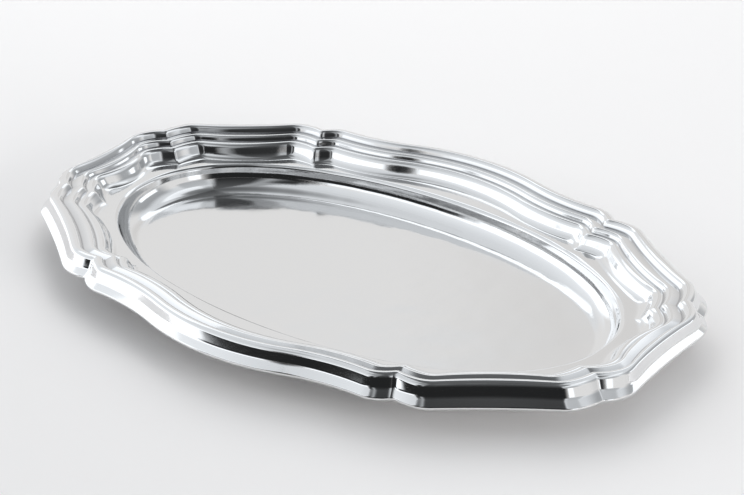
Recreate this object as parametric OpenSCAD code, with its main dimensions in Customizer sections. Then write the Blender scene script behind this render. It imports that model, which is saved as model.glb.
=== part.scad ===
// Oval serving tray, pressed from one stainless sheet: a flat-floored well, a flat
// rim, a scalloped border that steps up in three mouldings and turns down into a
// skirt, and an edge curled around a steel wire.
// Axes: +X along the tray, +Y across it, +Z up. The origin is the middle of the
// underside of the well's floor, which is the face that the tray stands on.
// Heights in the profile are measured from the top of the flat rim, and offsets
// run outwards from the border's inner line.

/* [Sheet] */
// Thickness of the pressed sheet
sheet_t = 0.8; // [0.6:0.1:0.8]

/* [Well] */
// Length of the well at its edge
well_length = 356.4; // [346:0.2:360]
// Width of the well at its edge
well_width = 187.4; // [178:0.2:191]
// Exponent of the well's oval, 2 for an ellipse and more for a squarer one
well_power = 2.1; // [2:0.05:2.2]
// Depth of the well below the rim
well_depth = 16.5; // [16:0.5:20]
// Slope of the well's wall
wall_angle = 78; // [70:1:80]
// Radius where the rim turns down into the well
well_edge_r = 2.5; // [2:0.5:3]
// Radius where the wall runs out into the floor
well_foot_r = 15; // [10:1:16]

/* [Border outline] */
// Distance of the long sides' notches from the short axis
side_notch_x = 105.2; // [102:0.1:108]
// Distance of the long sides' notches from the long axis
side_notch_y = 85.8; // [83:0.1:88]
// Distance of the end notches from the short axis
end_notch_x = 180.7; // [178:0.1:184]
// Distance of the end notches from the long axis
end_notch_y = 34.8; // [33:0.1:37]
// Height of the end lobes' shoulders above their notches
end_shoulder_h = 12.25; // [12:0.05:13]
// Flank angle of the end lobes
end_flank = 48; // [44:1:49]
// Hollow in the middle of the end lobes
end_hollow = 4.5; // [3:0.1:5]
// Height of the corner lobes' shoulders above their notches
corner_shoulder_h = 9.6; // [9:0.05:10.2]
// Flank angle of the corner lobes
corner_flank = 36; // [34:1:40]
// Hollow in the middle of the corner lobes
corner_hollow = 3.3; // [2:0.1:4]
// Height of the side lobes' shoulders above their notches
side_shoulder_h = 8; // [7.4:0.1:8.6]
// Flank angle of the side lobes
side_flank = 40; // [36:1:44]
// Height of the side lobes' swell above their shoulders
side_swell = 15.7; // [14:0.1:17]

/* [Border mouldings] */
// Height of the first moulding's crest
crest_a_h = 9.6; // [9.4:0.1:9.8]
// Height of the second moulding's crest
crest_b_h = 11.8; // [11.6:0.1:12]
// Height of the third moulding's crest, the tray's highest line
crest_c_h = 14.4; // [14.2:0.1:14.6]

/* [Edge] */
// Height of the middle of the curled edge
curl_h = 2.4; // [2.2:0.1:2.6]
// Outer radius of the curled edge
curl_r = 1.5; // [1.5:0.05:1.6]
// Radius of the wire in the curled edge
wire_r = 0.6; // [0.4:0.02:0.62]
// Gap between the two ends of the wire
wire_gap = 0.6; // [0.4:0.1:2]

/* [Hidden] */

// Height of the rim's top above the surface that the tray stands on
rim_z = well_depth + sheet_t;
// Width that the flat rim is drawn with in the profile
rim_run = 10;
// Offset of the curled edge's middle
curl_d = 29;
// Where the notches go for each millimetre of offset
side_mitre = [0.40, 1.00];
end_mitre = [1.01, 0.60];
// Shoulder radius at the inner line, and its growth for each millimetre of offset
lobe_r = 10;
lobe_r_growth = 0.45;
side_r = 6;
side_r_growth = 0.5;
// How much the end lobes draw in for each millimetre of offset beyond the third crest
end_tuck = 0.25;
// Offsets of the three crests
crest_a_d = 4.4;
crest_b_d = 10.5;
crest_c_d = 19.1;
// The two valleys between the crests, as [offset, height], and the radius of their creases
valley_ab = [8.9, 8.1];
valley_bc = [17, 10.2];
crease_r = 0.8;
// The corners where the skirt starts and ends, as [offset, height]
skirt_top = [24.2, 13.3];
skirt_foot = [26.6, 6.9];
// Share of a lobe's hollow that is lost for each millimetre of offset
hollow_fade = 0.0233;
// Steps in each stretch of an outline
shoulder_steps = 3;
hollow_steps = 2;
swell_steps = 2;
// Where the curl starts on its circle, and the angle and number of its steps
curl_start = 45;
curl_step = 54;
curl_turns = 5;
// Sides of the wire's cross-section, and where the first one starts
wire_sides = 6;
wire_start = 180;

function unit(v) = v / norm(v);
function turned(v, a) = [v.x * cos(a) - v.y * sin(a), v.x * sin(a) + v.y * cos(a)];
function reversed(list) = [for (i = [len(list) - 1:-1:0]) list[i]];
function from_second(list) = [for (i = [1:len(list) - 1]) list[i]];

// ---- One lobe of the border, from its notch at [0, 0] to its middle ----

// Arc of radius r about centre, from angle a to angle b measured from the vertical
function arc(centre, r, a, b, n) =
    [for (i = [0:n]) let (t = a + (b - a) * i / n) centre + r * [-sin(t), cos(t)]];

// The flank and the shoulder, up to the angle the shoulder ends at
function shoulder_x(h, r, flank) = (h - r * (1 - cos(flank))) / tan(flank) + r * sin(flank);
function shoulder(h, r, flank, last) = concat([[0, 0]],
    arc([shoulder_x(h, r, flank), h - r], r, flank, last, shoulder_steps));

// A lobe that is hollow in its middle
function hollow_lobe(half, h, r, flank, hollow) =
    let (x = shoulder_x(h, r, flank), bend = 2 * atan2(hollow, half - x),
         hollow_r = (half - x) / sin(bend) - r)
    concat(shoulder(h, r, flank, -bend),
        from_second(arc([half, h - hollow + hollow_r], -hollow_r, -bend, 0, hollow_steps)));

// A lobe that swells in its middle
function swelling_lobe(half, h, r, flank, swell) =
    let (x = shoulder_x(h, r, flank), bend = 2 * atan2(swell, half - x),
         swell_r = (half - x) / sin(bend) / 2)
    concat(shoulder(h, r, flank, 0),
        from_second(arc([x, h + swell_r], -swell_r, 0, bend, swell_steps)),
        from_second(arc([half, h + swell - swell_r], swell_r, bend, 0, swell_steps)));

// ---- The whole border outline at offset d, anticlockwise from the +X end ----

function quadrant(d) =
    let (side = [side_notch_x, side_notch_y] + d * side_mitre,
         end = [end_notch_x, end_notch_y] + d * end_mitre,
         r = lobe_r + lobe_r_growth * d,
         end_h = end_shoulder_h - end_tuck * max(0, d - crest_c_d),
         left = 1 - hollow_fade * d,
         along = unit(side - end),
         out = [along.y, -along.x],
         half = norm(side - end) / 2,
         end_lobe = hollow_lobe(end.y, end_h, r, end_flank, end_hollow * left),
         corner = hollow_lobe(half, corner_shoulder_h, r, corner_flank, corner_hollow * left),
         swelling = swelling_lobe(side.x, side_shoulder_h, side_r + side_r_growth * d,
                                  side_flank, side_swell))
    concat(
        reversed([for (p = end_lobe) [end.x + p.y, end.y - p.x]]),
        from_second([for (p = corner) end + p.x * along + p.y * out]),
        from_second(reversed([for (p = corner) side - p.x * along + p.y * out])),
        from_second([for (p = swelling) [side.x - p.x, side.y + p.y]]));

function border_outline(d) =
    let (q = quadrant(d),
         half = concat(q, from_second(reversed([for (p = q) [-p.x, p.y]]))),
         other = reversed([for (p = half) [p.x, -p.y]]))
    concat(half, [for (i = [1:len(other) - 2]) other[i]]);

// ---- Outlines inside the border, on the same rays from the middle ----

inner_line = border_outline(0);

// The well's oval moved inwards by inset, along each ray of the border's inner line
function oval_point(p, inset) =
    p / pow(pow(abs(p.x) / (well_length / 2 - inset), well_power)
          + pow(abs(p.y) / (well_width / 2 - inset), well_power), 1 / well_power);

// Outline at offset s: the border for s > 0, the flat rim down to -rim_run, then the well
function outline(s) =
    s >= 0 ? border_outline(s) :
    s >= -rim_run ? [for (p = inner_line) let (w = oval_point(p, 0)) p + (w - p) * -s / rim_run] :
    [for (p = inner_line) oval_point(p, -s - rim_run)];

// ---- Profile of the sheet's upper face, as [offset, height] ----

// The corner b of the path a-b-c, rounded with radius r in n steps, or cut to the one
// point in the arc's middle where n is 0. On the sheet's lower face, below is the
// sheet's thickness, and the arc keeps its centre.
function rounded(a, b, c, r, n, below) =
    let (u = unit(a - b), v = unit(c - b), half = acos(u * v) / 2,
         centre = b + unit(u + v) * r / sin(half),
         start = b + u * r / tan(half) - centre,
         side = sign(cross(b - a, c - b)),
         turn = (180 - 2 * half) * side)
    [for (i = [0:n]) let (part = n == 0 ? 0.5 : i / n)
        centre + turned(start, turn * part) * (r + side * below) / r];

curl_centre = [curl_d, curl_h];
wall_run = well_depth / tan(wall_angle);
wall_foot = [-rim_run - wall_run, -well_depth];
floor_middle = [wall_foot.x - well_width / 4, -well_depth];

// Corners of the profile: [offset, height, radius, steps]
corners = [
    [wall_foot.x, wall_foot.y, well_foot_r, 3],
    [-rim_run, 0, well_edge_r, 2],
    [0, 0, 6.0, 2],
    [crest_a_d, crest_a_h, 4.2, 2],
    [valley_ab.x, valley_ab.y, crease_r, 0],
    [crest_b_d, crest_b_h, 2.4, 2],
    [valley_bc.x, valley_bc.y, crease_r, 0],
    [crest_c_d, crest_c_h, 3.2, 2],
    [skirt_top.x, skirt_top.y, 3.6, 2],
    [skirt_foot.x, skirt_foot.y, 8.0, 0]];

function corner_at(i) =
    i < 0 ? floor_middle :
    i >= len(corners) ? curl_centre + curl_r * [cos(curl_start), sin(curl_start)] :
    [corners[i][0], corners[i][1]];

// The curl's section at radius r, from under the skirt's foot round to its hidden end
function curl(r) = [for (i = [0:curl_turns]) let (a = curl_start - curl_step * i)
    curl_centre + r * [cos(a), sin(a)]];

// One face of the sheet, from the floor's edge to the curl: below is 0 on the upper face
function face_path(below) = [for (i = [0:len(corners) - 1])
    each rounded(corner_at(i - 1), corner_at(i), corner_at(i + 1),
                 corners[i][2], corners[i][3], below)];

section = concat(face_path(sheet_t), curl(curl_r - sheet_t), reversed(curl(curl_r)),
                 reversed(face_path(0)));

// ---- Solids swept from sections around the outline ----

function ring(point) = [for (p = outline(point.x)) [p.x, p.y, rim_z + point.y]];

// Two triangles for each step around, from the ring that starts at a to the one at b
function band(a, b, around) = [for (j = [0:around - 1]) let (k = (j + 1) % around)
    each [[a + j, b + j, a + k], [a + k, b + j, b + k]]];

// One sheet of stainless steel: floor, wall, rim, border, skirt and curled edge. Its
// section runs from the floor's lower face over the edge to the floor's upper face,
// and a fan of triangles closes the floor on each face.
module pressed_tray() {
    around = len(inner_line);
    last = len(section) * around;
    color([0.80, 0.81, 0.82]) polyhedron(
        concat([for (point = section) each ring(point)], [[0, 0, 0], [0, 0, sheet_t]]),
        concat([for (i = [0:len(section) - 2]) each band(i * around, (i + 1) * around, around)],
               [for (j = [0:around - 1]) let (k = (j + 1) % around)
                   each [[last, j, k], [last + 1, last - around + k, last - around + j]]]),
        convexity = 8);
}

// The steel wire that stiffens the edge, inside the curl. It starts and ends in the
// middle of the +X end, with a gap between its two cut faces.
module edge_wire() {
    loops = [for (i = [0:wire_sides - 1]) let (a = wire_start + 360 / wire_sides * i,
        r = ring(curl_centre + wire_r * [cos(a), sin(a)]), apart = [0, wire_gap / 2, 0])
        concat([r[0] + apart], from_second(r), [r[0] - apart])];
    along = len(loops[0]);
    color([0.55, 0.56, 0.58]) polyhedron([for (l = loops) each l],
        concat([for (i = [0:wire_sides - 1])
                   let (a = i * along, b = (i + 1) % wire_sides * along)
                   for (j = [0:along - 2])
                   each [[a + j, b + j, a + j + 1], [a + j + 1, b + j, b + j + 1]]],
               [[for (i = [wire_sides - 1:-1:0]) i * along]],
               [[for (i = [0:wire_sides - 1]) (i + 1) * along - 1]]),
        convexity = 8);
}

pressed_tray();
edge_wire();
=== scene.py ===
"""A long oval serving tray of polished stainless steel, with a stepped scalloped border.

The tray is one pressed sheet whose edge is curled round a steel wire. Both pieces are swept here
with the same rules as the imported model: a profile of offsets and heights, carried round an
outline of eight lobes.
"""
import math

import bpy
import numpy as np
from mathutils import Matrix, Vector


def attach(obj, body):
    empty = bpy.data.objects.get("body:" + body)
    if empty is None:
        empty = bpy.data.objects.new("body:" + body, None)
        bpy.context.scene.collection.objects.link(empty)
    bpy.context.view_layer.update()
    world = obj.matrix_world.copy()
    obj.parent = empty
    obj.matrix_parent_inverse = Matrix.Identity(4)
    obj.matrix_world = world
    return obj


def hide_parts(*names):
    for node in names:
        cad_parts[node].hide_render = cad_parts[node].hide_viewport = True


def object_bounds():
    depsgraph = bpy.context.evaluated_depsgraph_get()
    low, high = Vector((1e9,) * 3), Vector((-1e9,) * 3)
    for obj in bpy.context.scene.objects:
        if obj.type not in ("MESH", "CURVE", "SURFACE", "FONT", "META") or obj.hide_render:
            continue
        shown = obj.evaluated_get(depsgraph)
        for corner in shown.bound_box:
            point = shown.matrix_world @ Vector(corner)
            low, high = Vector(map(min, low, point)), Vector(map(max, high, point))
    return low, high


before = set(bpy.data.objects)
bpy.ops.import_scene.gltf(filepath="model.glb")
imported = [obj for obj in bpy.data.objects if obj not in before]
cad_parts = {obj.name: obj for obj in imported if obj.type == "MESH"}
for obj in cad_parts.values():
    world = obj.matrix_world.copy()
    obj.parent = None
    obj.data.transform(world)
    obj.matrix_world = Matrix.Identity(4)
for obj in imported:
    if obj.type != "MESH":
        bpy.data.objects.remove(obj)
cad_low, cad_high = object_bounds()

# ---- Driving dimensions, in millimetres --------------------------------------------------------

SHEET = 0.8
WELL_LENGTH = 356.4
WELL_WIDTH = 187.4
WELL_POWER = 2.1
WELL_DEPTH = 16.5
WALL_ANGLE = 78.0
WELL_EDGE_R = 2.5
WELL_FOOT_R = 15.0

# Where the notches are on the border's inner line, and where they go for each millimetre of offset
SIDE_NOTCH = np.array([105.2, 85.8])
END_NOTCH = np.array([180.7, 34.8])
SIDE_MITRE = np.array([0.40, 1.00])
END_MITRE = np.array([1.01, 0.60])
NOTCH_R = 3.0
# Share of its flank angle that a lobe still has where the flank runs into the shoulder
FLANK_SHARE = 0.65
# Shoulder radii on the inner line, and their growth for each millimetre of offset
LOBE_R = 10.0
LOBE_R_GROWTH = 0.45
SIDE_R = 6.0
SIDE_R_GROWTH = 0.50
# What the end lobes draw in, and the share of a lobe's hollow that is lost, for each millimetre
END_TUCK = 0.25
HOLLOW_FADE = 0.0233
END_LOBE = {"height": 12.25, "flank": 48.0, "hollow": 4.5}
CORNER_LOBE = {"height": 9.6, "flank": 36.0, "hollow": 3.3}
SIDE_LOBE = {"height": 8.0, "flank": 40.0, "swell": 15.7}

# Corners of the profile, each as its offset from the border's inner line and its height above
# the rim, and the width of the painted shade line that darkens the creases
RIM_RUN = 10.0
CREST_A = (4.4, 9.6)
VALLEY_AB = (8.9, 8.1)
CREST_B = (10.5, 11.8)
VALLEY_BC = (17.0, 10.2)
CREST_C = (19.1, 14.4)
SKIRT_TOP = (24.2, 13.3)
SKIRT_FOOT = (26.6, 6.9)
CREASE_R = 0.8
CREASE_SHADE_WIDTH = 0.9
CURL_CENTRE = np.array([29.0, 2.4])
CURL_R = 1.5
CURL_START = 45.0
CURL_END = -225.0
WIRE_R = 0.60
WIRE_GAP = 0.6

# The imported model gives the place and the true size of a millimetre.
RIM_Z = WELL_DEPTH + SHEET
EDGE_OUT = CURL_CENTRE[0] + CURL_R
END_REACH = END_LOBE["height"] - END_TUCK * (EDGE_OUT - CREST_C[0])
LENGTH = 2 * (END_NOTCH[0] + END_MITRE[0] * EDGE_OUT + END_REACH)
MM = (cad_high.x - cad_low.x) / LENGTH

# Steps in each stretch of the outline, degrees in each step of the profile, and the wire's sides
FLANK_STEPS = 6
NOTCH_STEPS = 5
SHOULDER_STEPS = 7
HOLLOW_STEPS = 7
SWELL_STEPS = 10
FLOOR_STEPS = 8
PROFILE_TURN = 11.0
WIRE_SIDES = 12


# ---- Outline of the border ---------------------------------------------------------------------

def unit(v):
    """v at length 1."""
    return v / np.linalg.norm(v)


def arc(centre, radius, first, last, steps):
    """Points on an arc, from angle first to angle last, both measured from the vertical."""
    t = np.radians(np.linspace(first, last, steps + 1))
    return np.column_stack([centre[0] - radius * np.sin(t), centre[1] + radius * np.cos(t)])


def rounded(a, b, c, radius, steps, below=0.0):
    """The corner b of the path a-b-c as an arc. below is the sheet's thickness on its lower face."""
    u = unit(a - b)
    v = unit(c - b)
    half = math.acos(float(np.clip(u @ v, -1, 1))) / 2
    centre = b + unit(u + v) * radius / math.sin(half)
    start = b + u * radius / math.tan(half) - centre
    side = np.sign((b - a)[0] * (c - b)[1] - (b - a)[1] * (c - b)[0])
    t = np.linspace(0, (math.pi - 2 * half) * side, steps + 1)
    turned = np.column_stack([start[0] * np.cos(t) - start[1] * np.sin(t),
                              start[0] * np.sin(t) + start[1] * np.cos(t)])
    return centre + turned * (radius + side * below) / radius


def shoulder_x(height, radius, flank):
    """How far from the notch a lobe's shoulder has its top."""
    f = math.radians(flank)
    return (height - radius * (1 - math.cos(f))) / math.tan(f) + radius * math.sin(f)


def shoulder(height, radius, flank, last):
    """The bulging flank from the notch at (0, 0), then the shoulder's arc to the angle last."""
    leaves = flank * FLANK_SHARE
    centre = (shoulder_x(height, radius, flank), height - radius)
    top = arc(centre, radius, leaves, last, SHOULDER_STEPS)
    chord = top[0]
    lean = math.atan2(chord[1], chord[0])
    half_sweep = lean - math.radians(leaves)
    flank_r = np.linalg.norm(chord) / (2 * math.sin(half_sweep))
    start = lean + half_sweep
    centre = flank_r * np.array([math.sin(start), -math.cos(start)])
    rise = arc(centre, flank_r, math.degrees(start), leaves, FLANK_STEPS)
    return np.vstack([rise[:-1], top])


def hollow_lobe(half, radius, height, flank, hollow):
    """Half a lobe, from its notch to its middle, which is hollow."""
    x = shoulder_x(height, radius, flank)
    bend = 2 * math.atan2(hollow, half - x)
    middle_r = (half - x) / math.sin(bend) - radius
    bend = math.degrees(bend)
    rest = arc((half, height - hollow + middle_r), -middle_r, -bend, 0, HOLLOW_STEPS)
    return np.vstack([shoulder(height, radius, flank, -bend), rest[1:]])


def swelling_lobe(half, radius, height, flank, swell):
    """Half a lobe, from its notch to its middle, which swells."""
    x = shoulder_x(height, radius, flank)
    bend = 2 * math.atan2(swell, half - x)
    middle_r = (half - x) / math.sin(bend) / 2
    bend = math.degrees(bend)
    rise = arc((x, height + middle_r), -middle_r, 0, bend, SWELL_STEPS)
    top = arc((half, height + swell - middle_r), middle_r, bend, 0, SWELL_STEPS)
    return np.vstack([shoulder(height, radius, flank, 0), rise[1:], top[1:]])


def border_outline(d):
    """The border's outline at offset d from its inner line, anticlockwise from the +X end."""
    side = SIDE_NOTCH + d * SIDE_MITRE
    end = END_NOTCH + d * END_MITRE
    radius = LOBE_R + LOBE_R_GROWTH * d
    end_height = END_LOBE["height"] - END_TUCK * max(0.0, d - CREST_C[0])
    left = 1 - HOLLOW_FADE * d
    along = unit(side - end)
    out = np.array([along[1], -along[0]])
    half = np.linalg.norm(side - end) / 2
    p = hollow_lobe(end[1], radius, end_height, END_LOBE["flank"], END_LOBE["hollow"] * left)
    end_half = np.column_stack([end[0] + p[:, 1], end[1] - p[:, 0]])[::-1]
    p = hollow_lobe(half, radius, CORNER_LOBE["height"], CORNER_LOBE["flank"],
                    CORNER_LOBE["hollow"] * left)
    corner_first = end + p[:, :1] * along + p[:, 1:] * out
    corner_second = (side - p[:, :1] * along + p[:, 1:] * out)[::-1]
    p = swelling_lobe(side[0], SIDE_R + SIDE_R_GROWTH * d, SIDE_LOBE["height"],
                      SIDE_LOBE["flank"], SIDE_LOBE["swell"])
    side_half = np.column_stack([side[0] - p[:, 0], side[1] + p[:, 1]])
    end_corner = rounded(end_half[-2], end, corner_first[1], NOTCH_R, NOTCH_STEPS)
    side_corner = rounded(corner_second[-2], side, side_half[1], NOTCH_R, NOTCH_STEPS)
    quarter = np.vstack([end_half[:-1], end_corner, corner_first[1:], corner_second[1:-1],
                         side_corner, side_half[1:]])
    half_turn = np.vstack([quarter, (quarter * [-1, 1])[::-1][1:]])
    return np.vstack([half_turn, (half_turn * [1, -1])[::-1][1:-1]])


INNER_LINE = border_outline(0.0)


def oval(inset):
    """The well's oval moved inwards by inset, on the rays of the border's inner line."""
    p = np.abs(INNER_LINE)
    reach = ((p[:, 0] / (WELL_LENGTH / 2 - inset)) ** WELL_POWER
             + (p[:, 1] / (WELL_WIDTH / 2 - inset)) ** WELL_POWER) ** (1 / WELL_POWER)
    return INNER_LINE / reach[:, None]


def outline(s):
    """The border for s above 0, then the flat rim down to -RIM_RUN, then the well."""
    if s >= 0:
        return border_outline(s)
    if s >= -RIM_RUN:
        return INNER_LINE + (oval(0.0) - INNER_LINE) * -s / RIM_RUN
    return oval(-s - RIM_RUN)


# ---- Profile of the sheet ----------------------------------------------------------------------

def profile_corners():
    """The corners of the sheet's profile, each as offset, height above the rim and radius."""
    foot_x = -RIM_RUN - WELL_DEPTH / math.tan(math.radians(WALL_ANGLE))
    return [(foot_x, -WELL_DEPTH, WELL_FOOT_R),
            (-RIM_RUN, 0.0, WELL_EDGE_R),
            (0.0, 0.0, 6.0),
            (*CREST_A, 4.2),
            (*VALLEY_AB, CREASE_R),
            (*CREST_B, 2.4),
            (*VALLEY_BC, CREASE_R),
            (*CREST_C, 3.2),
            (*SKIRT_TOP, 2.6),
            (*SKIRT_FOOT, 5.0)]


def curl(radius):
    """The curl's section at that radius, from the skirt's foot round to its hidden end."""
    steps = int(round((CURL_START - CURL_END) / PROFILE_TURN))
    t = np.radians(np.linspace(CURL_START, CURL_END, steps + 1))
    return CURL_CENTRE + radius * np.column_stack([np.cos(t), np.sin(t)])


def painted_crease_shade(path):
    """How much painted shade darkens each point of the profile, in the creases between two
    mouldings, from 0 to 1.
    """
    shade_marks = np.zeros(len(path))
    for corner in profile_corners():
        if corner[2] == CREASE_R:
            distance = np.linalg.norm(path - np.array(corner[:2]), axis=1)
            shade_marks = np.maximum(shade_marks, np.clip(1.0 - distance / CREASE_SHADE_WIDTH, 0, 1))
    return shade_marks


def face_path(below):
    """One face of the sheet, from the floor's edge to the curl. below is 0 on its upper face."""
    corners = profile_corners()
    path = [np.array(c[:2]) for c in corners]
    path.insert(0, path[0] - np.array([WELL_WIDTH / 4, 0.0]))
    path.append(curl(CURL_R)[0])
    points = []
    for i, corner in enumerate(corners):
        a, b, c = path[i:i + 3]
        turn = math.degrees(math.acos(float(np.clip(unit(b - a) @ unit(c - b), -1, 1))))
        steps = max(3, int(math.ceil(turn / PROFILE_TURN)))
        points.append(rounded(a, b, c, corner[2], steps, below))
    return np.vstack(points)


# ---- Meshes ------------------------------------------------------------------------------------

def ring(point):
    """The outline at one point of the profile, as places in metres."""
    plan = outline(point[0])
    height = np.full(len(plan), RIM_Z + point[1])
    return np.column_stack([plan, height]) * MM


def floor_rings(edge):
    """Rings from the floor's middle out to its edge, without the edge itself."""
    middle = np.array([0.0, 0.0, edge[0][2]])
    return [middle + (edge - middle) * share for share in np.linspace(0, 1, FLOOR_STEPS + 1)[1:-1]]


def grid_mesh(name, rings):
    """A mesh of quads between rings of equal length, closed by a fan in the first and last ring."""
    around = len(rings[0])
    points = np.vstack(rings)
    faces = []
    step = np.arange(around)
    after = (step + 1) % around
    for i in range(len(rings) - 1):
        a = i * around
        b = a + around
        faces += np.column_stack([a + step, b + step, b + after, a + after]).tolist()
    tip = len(points)
    base = tip - around
    faces += np.column_stack([np.full(around, tip), step, after]).tolist()
    faces += np.column_stack([np.full(around, tip + 1), base + after, base + step]).tolist()
    points = np.vstack([points, rings[0].mean(axis=0), rings[-1].mean(axis=0)])
    mesh = bpy.data.meshes.new(name)
    mesh.from_pydata(points.tolist(), [], faces)
    mesh.polygons.foreach_set("use_smooth", [True] * len(mesh.polygons))
    mesh.validate()
    mesh.update()
    piece = bpy.data.objects.new(name, mesh)
    bpy.context.scene.collection.objects.link(piece)
    return piece


def make_tray():
    """The pressed sheet: both faces, joined round the curl's hidden end."""
    path = np.vstack([face_path(0.0), curl(CURL_R)])
    upper = [ring(p) for p in path]
    lower = [ring(p) for p in np.vstack([face_path(SHEET), curl(CURL_R - SHEET)])]
    rings = floor_rings(upper[0]) + upper + lower[::-1] + floor_rings(lower[0])[::-1]
    tray = grid_mesh("pressed_tray_surface", rings)
    around = len(INNER_LINE)
    start = (FLOOR_STEPS - 1) * around
    # Painted shade: where the creases are darkened, kept as a point attribute of the sheet
    shade_marks = np.zeros(len(tray.data.vertices))
    shade_marks[start:start + len(path) * around] = np.repeat(painted_crease_shade(path), around)
    attribute = tray.data.attributes.new("crease_shade", "FLOAT", "POINT")
    attribute.data.foreach_set("value", shade_marks)
    return tray


def make_wire():
    """The round wire in the curl, cut at the +X end."""
    rings = []
    for i in range(WIRE_SIDES):
        t = 2 * math.pi * i / WIRE_SIDES
        plan = ring(CURL_CENTRE + WIRE_R * np.array([math.cos(t), math.sin(t)]))
        apart = np.array([0.0, WIRE_GAP / 2 * MM, 0.0])
        rings.append(np.vstack([plan[0] + apart, plan[1:], plan[0] - apart]))
    stations = [np.array([r[j] for r in rings]) for j in range(len(rings[0]))]
    return grid_mesh("edge_wire_round", stations)


# ---- Materials ---------------------------------------------------------------------------------

def new_material(name):
    """An empty node material, its nodes and links, and its Principled shader."""
    material = bpy.data.materials.new(name)
    material.use_nodes = True
    nodes = material.node_tree.nodes
    links = material.node_tree.links
    shader = nodes["Principled BSDF"]
    return material, nodes, links, shader


def polished_steel():
    """Mirror-polished stainless steel: slightly wavy, faintly scratched, with painted shade
    darkening its creases.
    """
    material, nodes, links, shader = new_material("polished_steel")
    place = nodes.new("ShaderNodeTexCoord")

    def noise(scale, detail, stretch):
        """Noise with features of 1 / scale metres, drawn out along the axes of small stretch."""
        spread = nodes.new("ShaderNodeMapping")
        spread.inputs["Scale"].default_value = stretch
        links.new(place.outputs["Object"], spread.inputs["Vector"])
        texture = nodes.new("ShaderNodeTexNoise")
        texture.inputs["Scale"].default_value = scale
        texture.inputs["Detail"].default_value = detail
        links.new(spread.outputs[0], texture.inputs["Vector"])
        return texture.outputs["Fac"]

    def between(value, low, high, first, last):
        """The value carried from the range low to high into the range first to last."""
        node = nodes.new("ShaderNodeMapRange")
        node.inputs["From Min"].default_value = low
        node.inputs["From Max"].default_value = high
        node.inputs["To Min"].default_value = first
        node.inputs["To Max"].default_value = last
        links.new(value, node.inputs["Value"])
        return node.outputs[0]

    def bump(height, distance, below=None):
        """Relief of that many metres, on top of the normal below it."""
        node = nodes.new("ShaderNodeBump")
        node.inputs["Strength"].default_value = 1.0
        node.inputs["Distance"].default_value = distance
        links.new(height, node.inputs["Height"])
        if below is not None:
            links.new(below, node.inputs["Normal"])
        return node.outputs[0]

    even = (1.0, 1.0, 1.0)
    along = (0.12, 1.0, 1.0)
    wave = bump(noise(38.0, 1.0, even), 0.0003)
    ripple = bump(noise(150.0, 2.0, even), 0.00002, wave)
    scratches = bump(noise(900.0, 2.0, along), 0.0000008, ripple)
    links.new(scratches, shader.inputs["Normal"])

    # Painted shade: the base colour goes dark grey in the creases, drawn in place of the shade that
    # falls there
    crease_shade = nodes.new("ShaderNodeAttribute")
    crease_shade.attribute_name = "crease_shade"
    shade_tint = nodes.new("ShaderNodeMix")
    shade_tint.data_type = "RGBA"
    shade_tint.inputs["A"].default_value = (0.80, 0.802, 0.805, 1.0)
    shade_tint.inputs["B"].default_value = (0.27, 0.275, 0.29, 1.0)
    links.new(crease_shade.outputs["Fac"], shade_tint.inputs["Factor"])
    links.new(shade_tint.outputs["Result"], shader.inputs["Base Color"])
    cloudy = noise(14.0, 6.0, even)
    links.new(between(cloudy, 0.35, 0.7, 0.035, 0.10), shader.inputs["Roughness"])
    shader.inputs["Metallic"].default_value = 1.0
    return material


def drawn_wire():
    """Plain drawn steel wire."""
    material, nodes, links, shader = new_material("drawn_wire")
    shader.inputs["Metallic"].default_value = 1.0
    shader.inputs["Base Color"].default_value = (0.5, 0.5, 0.51, 1.0)
    shader.inputs["Roughness"].default_value = 0.35
    return material


def panel_glow(name, low, high, edges):
    """A soft-edged emitter, from colour low at its foot to colour high at its top."""
    material = bpy.data.materials.new(name)
    material.use_nodes = True
    nodes = material.node_tree.nodes
    links = material.node_tree.links
    nodes.clear()

    def maths(operation, first, second=None):
        node = nodes.new("ShaderNodeMath")
        node.operation = operation
        for socket, value in zip(node.inputs, (first, second)):
            if isinstance(value, (int, float)):
                socket.default_value = value
            elif value is not None:
                links.new(value, socket)
        return node.outputs[0]

    place = nodes.new("ShaderNodeUVMap")
    parts = nodes.new("ShaderNodeSeparateXYZ")
    links.new(place.outputs[0], parts.inputs[0])
    shares = []
    for axis, edge in zip(("X", "Y"), edges):
        across = parts.outputs[axis]
        nearest = maths("MINIMUM", across, maths("SUBTRACT", 1.0, across))
        ease = nodes.new("ShaderNodeMapRange")
        ease.interpolation_type = "SMOOTHSTEP"
        ease.inputs["From Max"].default_value = max(edge, 0.001)
        links.new(nearest, ease.inputs["Value"])
        shares.append(ease.outputs[0])
    cover = maths("MULTIPLY", shares[0], shares[1])
    blend = nodes.new("ShaderNodeMix")
    blend.data_type = "RGBA"
    blend.inputs["A"].default_value = (*low, 1.0)
    blend.inputs["B"].default_value = (*high, 1.0)
    links.new(parts.outputs["Y"], blend.inputs["Factor"])
    emission = nodes.new("ShaderNodeEmission")
    links.new(blend.outputs["Result"], emission.inputs["Color"])
    clear = nodes.new("ShaderNodeBsdfTransparent")
    mix = nodes.new("ShaderNodeMixShader")
    links.new(cover, mix.inputs[0])
    links.new(clear.outputs[0], mix.inputs[1])
    links.new(emission.outputs[0], mix.inputs[2])
    output = nodes.new("ShaderNodeOutputMaterial")
    links.new(mix.outputs[0], output.inputs[0])
    return material


# ---- Studio ------------------------------------------------------------------------------------

PANEL_COLUMNS = 24
PANEL_ROWS = 12
FLOOR_HALF = 12.0


def around(azimuth, elevation=0.0):
    """The direction to a place round the tray. Azimuth 0 is -Y, and 90 is +X."""
    a = math.radians(azimuth)
    e = math.radians(elevation)
    return Vector((math.sin(a) * math.cos(e), -math.cos(a) * math.cos(e), math.sin(e)))


def cool(brightness):
    """A faintly cool grey."""
    return (brightness * 0.95, brightness * 0.985, brightness * 1.02)


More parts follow.
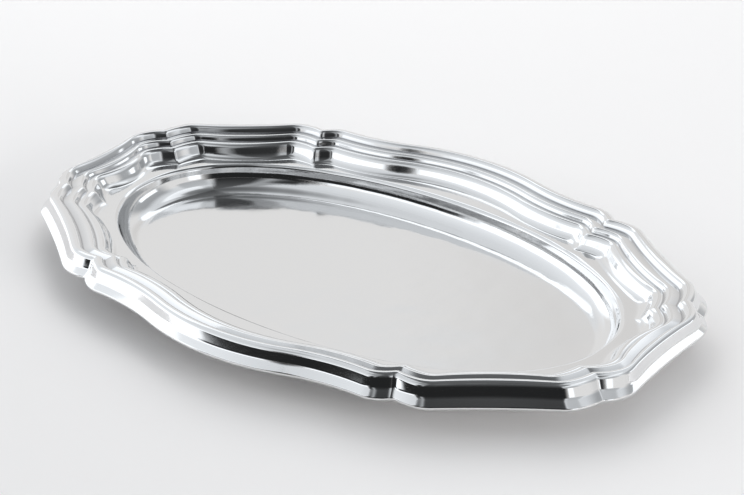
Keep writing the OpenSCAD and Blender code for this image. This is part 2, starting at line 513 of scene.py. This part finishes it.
def panel(name, azimuths, elevations, distance, low, high, edges):
    """A panel bent round the tray, seen in its reflections but never by the camera itself."""
    points = []
    places = []
    for i in range(PANEL_COLUMNS + 1):
        for j in range(PANEL_ROWS + 1):
            u = i / PANEL_COLUMNS
            v = j / PANEL_ROWS
            azimuth = azimuths[0] + (azimuths[1] - azimuths[0]) * u
            elevation = elevations[0] + (elevations[1] - elevations[0]) * v
            p = around(azimuth, elevation) * distance
            points.append((p.x, p.y, p.z))
            places.append((u, v))
    faces = []
    for i in range(PANEL_COLUMNS):
        for j in range(PANEL_ROWS):
            a = i * (PANEL_ROWS + 1) + j
            b = a + PANEL_ROWS + 1
            faces.append((a, b, b + 1, a + 1))
    mesh = bpy.data.meshes.new(name)
    mesh.from_pydata(points, [], faces)
    layer = mesh.uv_layers.new(name="UVMap")
    for loop in mesh.loops:
        layer.data[loop.index].uv = places[loop.vertex_index]
    card = bpy.data.objects.new(name, mesh)
    bpy.context.scene.collection.objects.link(card)
    card.data.materials.append(panel_glow(name, low, high, edges))
    card.visible_camera = False
    return card


def make_floor():
    """A wide pale floor that the tray stands on."""
    size = FLOOR_HALF
    z = cad_low.z
    mesh = bpy.data.meshes.new("studio_floor")
    mesh.from_pydata([(-size, -size, z), (size, -size, z), (size, size, z), (-size, size, z)], [],
                     [(0, 1, 2, 3)])
    floor = bpy.data.objects.new("studio_floor", mesh)
    bpy.context.scene.collection.objects.link(floor)
    material, nodes, links, shader = new_material("studio_floor")
    shader.inputs["Base Color"].default_value = (0.92, 0.903, 0.894, 1.0)
    shader.inputs["Roughness"].default_value = 0.7
    shader.inputs["Specular IOR Level"].default_value = 0.1
    mesh.materials.append(material)


def make_world():
    """A white surround that is greyer overhead."""
    world = bpy.data.worlds.new("studio")
    world.use_nodes = True
    nodes = world.node_tree.nodes
    links = world.node_tree.links
    place = nodes.new("ShaderNodeTexCoord")
    parts = nodes.new("ShaderNodeSeparateXYZ")
    links.new(place.outputs["Generated"], parts.inputs[0])
    ramp = nodes.new("ShaderNodeValToRGB")
    links.new(parts.outputs["Z"], ramp.inputs["Fac"])
    stops = ramp.color_ramp.elements
    stops[0].position = 0.0
    stops[0].color = (0.87, 0.868, 0.865, 1.0)
    stops[1].position = 1.0
    stops[1].color = (0.12, 0.125, 0.13, 1.0)
    for position, colour in ((0.50, (0.885, 0.88, 0.875)), (0.60, cool(0.86)),
                             (0.88, cool(0.78)), (0.95, cool(0.32))):
        stop = stops.new(position)
        stop.color = (*colour, 1.0)
    links.new(ramp.outputs["Color"], nodes["Background"].inputs["Color"])
    nodes["Background"].inputs["Strength"].default_value = 1.0
    bpy.context.scene.world = world


def fill_light(name, azimuth, elevation, distance, size, power):
    """A square area light for the floor, unseen in the tray's reflections."""
    lamp = bpy.data.lights.new(name, "AREA")
    lamp.shape = "SQUARE"
    lamp.size = size
    lamp.energy = power
    light = bpy.data.objects.new(name, lamp)
    back = around(azimuth, elevation)
    light.location = back * distance
    light.rotation_mode = "QUATERNION"
    light.rotation_quaternion = back.to_track_quat("Z", "Y")
    light.visible_glossy = False
    bpy.context.scene.collection.objects.link(light)
    return light


def make_studio():
    """The floor, the surround, the white panels and the dark side of the room."""
    make_floor()
    make_world()
    fill_light("back_fill", 217.0, 46.0, 1.5, 1.0, 6.0)
    fill_light("left_fill", -62.0, 12.0, 1.8, 0.7, 4.0)
    fill_light("right_fill", 84.0, 14.0, 1.8, 0.7, 16.0)
    panel("left_panel", (-108.0, -4.0), (-2.0, 29.0), 2.4, cool(1.6), cool(1.35), (0.08, 0.08))
    panel("left_high", (-130.0, -4.0), (20.0, 60.0), 2.5, cool(1.1), cool(0.8), (0.3, 0.12))
    panel("dark_strip", (-42.0, 6.0), (3.0, 20.0), 2.1, cool(0.02), cool(0.02), (0.15, 0.2))
    panel("dark_wedge", (-13.0, 8.0), (14.0, 56.0), 2.05, cool(0.04), cool(0.04), (0.45, 0.3))
    panel("dark_side", (-14.0, 62.0), (4.0, 31.0), 2.0, cool(0.02), cool(0.02), (0.2, 0.10))
    panel("brown_side", (-26.0, 58.0), (-3.0, 9.0), 2.05, (0.24, 0.205, 0.18),
          (0.10, 0.09, 0.085), (0.35, 0.25))
    panel("dark_column", (6.0, 52.0), (28.0, 89.0), 2.2, cool(0.02), cool(0.12), (0.2, 0.04))
    panel("grey_side", (-12.0, 20.0), (27.0, 80.0), 2.5, cool(0.45), cool(0.35), (0.3, 0.08))
    panel("right_panel", (55.0, 72.0), (-2.0, 24.0), 1.95, cool(1.6), cool(1.4), (0.25, 0.15))
    panel("end_grey", (96.0, 184.0), (0.0, 54.0), 2.4, cool(0.5), cool(0.4), (0.25, 0.3))
    panel("end_panel", (116.0, 150.0), (7.0, 22.0), 2.2, cool(1.5), cool(1.5), (0.1, 0.1))
    panel("right_grey", (48.0, 92.0), (24.0, 60.0), 2.5, cool(0.5), cool(0.62), (0.2, 0.15))
    panel("high_panel", (60.0, 185.0), (56.0, 76.0), 2.3, cool(1.3), cool(0.9), (0.10, 0.25))
    panel("back_right", (190.0, 219.0), (12.0, 46.0), 2.6, (0.78, 0.77, 0.76),
          (0.78, 0.77, 0.76), (0.45, 0.3))
    panel("back_panel", (184.0, 256.0), (36.0, 46.5), 2.35, cool(1.35), cool(1.35), (0.15, 0.12))
    panel("dark_back", (198.0, 236.0), (46.0, 89.0), 2.3, cool(0.16), cool(0.07), (0.2, 0.06))


# ---- Camera ------------------------------------------------------------------------------------

CAMERA_AZIMUTH = 39.56
CAMERA_ELEVATION = 28.77
CAMERA_ROLL = -2.42
CAMERA_DISTANCE = 1.2803
CAMERA_LENS = 101.5
CAMERA_SHIFT = (0.0212, 0.0141)


def make_camera():
    """A camera on the tray's near right, a little above it."""
    data = bpy.data.cameras.new("camera")
    data.sensor_width = 36.0
    data.lens = CAMERA_LENS
    data.shift_x, data.shift_y = CAMERA_SHIFT
    camera = bpy.data.objects.new("camera", data)
    back = around(CAMERA_AZIMUTH, CAMERA_ELEVATION)
    right = Vector((0, 0, 1)).cross(back).normalized()
    up = back.cross(right)
    roll = math.radians(CAMERA_ROLL)
    tilted_right = right * math.cos(roll) + up * math.sin(roll)
    tilted_up = up * math.cos(roll) - right * math.sin(roll)
    target = Vector((0.0, 0.0, cad_low.z + RIM_Z * MM))
    camera.matrix_world = Matrix.Translation(target + back * CAMERA_DISTANCE) @ Matrix(
        (tilted_right, tilted_up, back)).transposed().to_4x4()
    bpy.context.scene.collection.objects.link(camera)
    bpy.context.scene.camera = camera


# ---- Making --------------------------------------------------------------------------------------

def place(piece, material, node, slot):
    """The finish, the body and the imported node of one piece."""
    piece.data.materials.append(material)
    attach(piece, "root")
    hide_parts(node)


make_camera()
make_studio()
place(make_tray(), polished_steel(), "pressed_tray", "polished_steel")
place(make_wire(), drawn_wire(), "edge_wire", "drawn_wire")
bpy.context.scene.view_settings.view_transform = "Standard"
